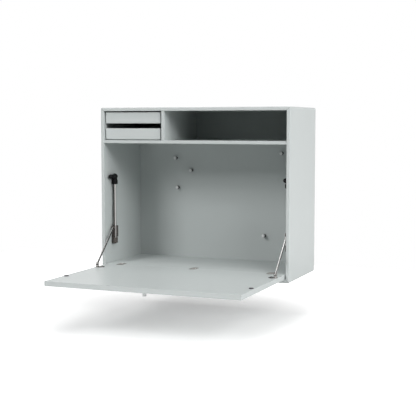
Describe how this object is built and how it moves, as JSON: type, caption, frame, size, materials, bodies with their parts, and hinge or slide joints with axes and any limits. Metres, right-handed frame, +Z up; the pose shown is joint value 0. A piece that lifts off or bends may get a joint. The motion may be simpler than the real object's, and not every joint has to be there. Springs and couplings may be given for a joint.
{
  "type": "fold-down wall desk",
  "caption": "Wall-hung cabinet desk: a bottom-hinged flap on braked side stays folds down as the writing surface, below an open shelf bay and pull-out trays.",
  "frame": {"origin": "on the wall plane, midway across the width, at the height of the two wall screws", "axes": "+Z up, -Y out of the wall towards the user, +X to the user's right"},
  "size_m": [0.696, 0.702, 0.585],
  "materials": {
    "lacquered_board": "pale cool grey semi-matte lacquer on fibreboard",
    "joinery_wood": "plain beech, glued",
    "runner_plastic": "light grey moulded strip",
    "hinge_metal": "dull brown-grey cast cup",
    "fastener_steel": "zinc plated",
    "rail_steel": "zinc plated sheet",
    "magnet_metal": "dark plated",
    "catch_disc_steel": "purple-black coat",
    "knob_metal": "grey coat to match the boards",
    "nickel": "nickel plate",
    "tube_steel": "satin plated tube",
    "slider_plastic": "dark brown moulding",
    "bracket_plastic": "brown-grey moulding",
    "catch_plastic": "black moulding"
  },
  "bodies": {
    "carcass": {"back_board": "lacquered_board", "board_magnets": "magnet_metal", "board_tongues": "joinery_wood", "bottom_panel": "lacquered_board", "corner_splines": "joinery_wood", "desk_floor": "lacquered_board", "floor_hinge_halves": "hinge_metal", "hinge_pins": "fastener_steel", "hook_rail": "rail_steel", "left_guide_tube": "tube_steel", "left_side": "lacquered_board", "lower_brackets": "bracket_plastic", "middle_shelf": "lacquered_board", "right_guide_tube": "tube_steel", "right_side": "lacquered_board", "stay_screws": "fastener_steel", "top_catches": "catch_plastic", "top_panel": "lacquered_board", "tray_divider": "lacquered_board", "tray_runners": "runner_plastic", "wall_rail": "rail_steel"},
    "flap": {"flap_panel": "lacquered_board", "flap_hinge_halves": "hinge_metal", "flap_catch_discs": "catch_disc_steel", "flap_knob": "knob_metal", "knob_stud": "fastener_steel", "flap_posts": "nickel", "post_pins": "nickel", "plate_screws": "fastener_steel"},
    "left_slider": {"left_slider": "slider_plastic", "left_slider_strip": "nickel", "left_slider_pin": "nickel"},
    "right_slider": {"right_slider": "slider_plastic", "right_slider_strip": "nickel", "right_slider_pin": "nickel"},
    "left_arm": {"left_stay_arm": "nickel", "left_arm_rivet": "nickel"},
    "right_arm": {"right_stay_arm": "nickel", "right_arm_rivet": "nickel"},
    "upper_tray": {"upper_tray_front": "lacquered_board", "upper_tray_box": "lacquered_board", "upper_tray_bottom": "lacquered_board"},
    "lower_tray": {"lower_tray_front": "lacquered_board", "lower_tray_box": "lacquered_board", "lower_tray_bottom": "lacquered_board"}
  },
  "joints": [
    {"name": "flap_hinge", "type": "hinge", "parent": "carcass", "child": "flap", "pos_m": [0, -0.276, -0.512], "axis": [-1, 0, 0], "range_deg": [0, 90]},
    {"name": "upper_tray_slide", "type": "slide", "parent": "carcass", "child": "upper_tray", "axis": [0, -1, 0], "range_m": [0, 0.2]},
    {"name": "lower_tray_slide", "type": "slide", "parent": "carcass", "child": "lower_tray", "axis": [0, -1, 0], "range_m": [0, 0.2]},
    {"name": "left_arm_pivot", "type": "hinge", "parent": "flap", "child": "left_arm", "pos_m": [-0.3255, -0.369, -0.5], "axis": [1, 0, 0], "range_deg": [0, 131.4]},
    {"name": "left_slider_slide", "type": "slide", "parent": "carcass", "child": "left_slider", "axis": [0, 0, 1], "range_m": [0, 0.1316]},
    {"name": "right_arm_pivot", "type": "hinge", "parent": "flap", "child": "right_arm", "pos_m": [0.3255, -0.369, -0.5], "axis": [1, 0, 0], "range_deg": [0, 131.4]},
    {"name": "right_slider_slide", "type": "slide", "parent": "carcass", "child": "right_slider", "axis": [0, 0, 1], "range_m": [0, 0.1316]}
  ],
  "couplings": [
    {"joint": "left_arm_pivot", "follows": "flap_hinge", "ratio": 1.459},
    {"joint": "left_slider_slide", "follows": "flap_hinge", "m_per_rad": 0.083727},
    {"joint": "right_arm_pivot", "follows": "flap_hinge", "ratio": 1.459},
    {"joint": "right_slider_slide", "follows": "flap_hinge", "m_per_rad": 0.083727}
  ]
}
